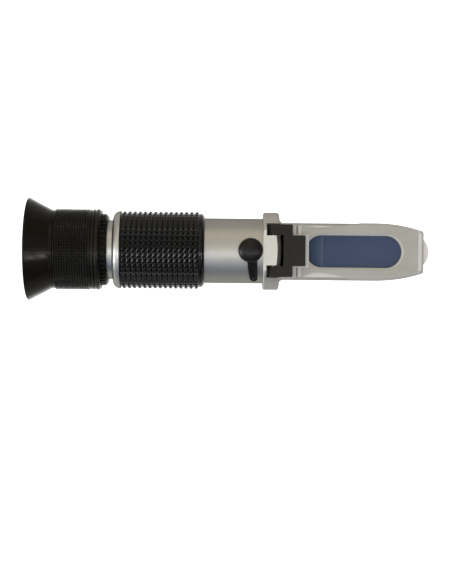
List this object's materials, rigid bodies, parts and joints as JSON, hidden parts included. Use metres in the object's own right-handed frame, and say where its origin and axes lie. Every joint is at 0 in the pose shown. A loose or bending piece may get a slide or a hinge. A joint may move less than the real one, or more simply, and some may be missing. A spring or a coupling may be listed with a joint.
{
  "type": "handheld refractometer",
  "caption": "Handheld optical refractometer: metal barrel with rubber grip, focusing eyepiece with flared eyecup, prism head and hinged daylight plate.",
  "frame": {"origin": "centre of the eyecup's flat rim, on the optical axis", "axes": "+X along the optical axis to the prism's nose, +Z out of the prism's measuring face, +Y across"},
  "size_m": [0.1576, 0.0406, 0.0406],
  "materials": {
    "black_rubber": "matt, finely textured",
    "grip_rubber": "glossy pyramids",
    "plug_rubber": "smooth, glossy",
    "black_plastic": "matt moulded",
    "bracket_black": "satin black, finely textured",
    "satin_chrome": "satin plated, finely brushed",
    "satin_head": "satin plated, bead-blasted",
    "blackened_metal": "blackened, matt",
    "brass": "turned, satin",
    "steel": "bright",
    "bimetal": "rolled strip, satin",
    "lens_glass": "polished",
    "prism_glass": "polished, blue-tinted",
    "frosted_plate": "frosted, with a clear window",
    "seal_rubber": "matt"
  },
  "bodies": {
    "barrel": {"rear_neck": "satin_chrome", "rear_collar": "satin_chrome", "barrel": "satin_chrome", "grip_sleeve": "grip_rubber", "guide_key": "steel", "reticle_cell": "blackened_metal", "reticle": "lens_glass", "reticle_retainer": "blackened_metal", "light_baffle": "blackened_metal", "objective_carrier": "blackened_metal", "calibration_bush": "brass", "return_spring": "steel", "prism_head": "satin_head", "main_prism": "prism_glass", "prism_gasket": "seal_rubber", "head_seal": "seal_rubber", "hinge_pin": "steel"},
    "daylight_cover": {"hinge_bracket": "bracket_black", "daylight_plate": "frosted_plate"},
    "lens_carrier": {"eyepiece_tube": "blackened_metal", "eye_lens": "lens_glass", "lens_spacer": "blackened_metal", "field_lens": "lens_glass", "lens_retainer": "blackened_metal"},
    "focus_ring": {"eyecup": "black_rubber", "eyepiece_cap": "black_plastic", "focus_body": "black_plastic", "knurled_sleeve": "black_rubber"},
    "calibration_screw": {"calibration_screw": "brass"},
    "objective_cell": {"objective_cell": "blackened_metal", "objective_lens": "lens_glass", "objective_retainer": "blackened_metal", "bimetal_strip": "bimetal", "bimetal_screw": "steel"},
    "calibration_plug": {"calibration_plug": "plug_rubber"}
  },
  "joints": [
    {"name": "plate_hinge", "type": "hinge", "parent": "barrel", "child": "daylight_cover", "pos_m": [0.0966, 0, 0.0096], "axis": [0, -1, 0], "range_deg": [0, 95]},
    {"name": "focus_travel", "type": "slide", "parent": "barrel", "child": "lens_carrier", "axis": [1, 0, 0], "range_m": [-0.0025, 0.00184]},
    {"name": "focus_turn", "type": "hinge", "parent": "lens_carrier", "child": "focus_ring", "pos_m": [0, 0, 0], "axis": [1, 0, 0], "range_deg": [-151, 111]},
    {"name": "calibration_turn", "type": "hinge", "parent": "barrel", "child": "calibration_screw", "pos_m": [0.0878, 0, 0.008], "axis": [0, 0, 1], "range_deg": [-360, 360]},
    {"name": "objective_shift", "type": "slide", "parent": "barrel", "child": "objective_cell", "axis": [0, 0, 1], "range_m": [-0.00034, 0.00034], "deforming": ["return_spring"]},
    {"name": "plug_pull", "type": "slide", "parent": "barrel", "child": "calibration_plug", "axis": [0, 0, 1], "range_m": [0, 0.012]}
  ],
  "couplings": [
    {"joint": "focus_turn", "follows": "focus_travel", "rad_per_m": 1047.2},
    {"joint": "calibration_turn", "follows": "objective_shift", "rad_per_m": 17952}
  ]
}
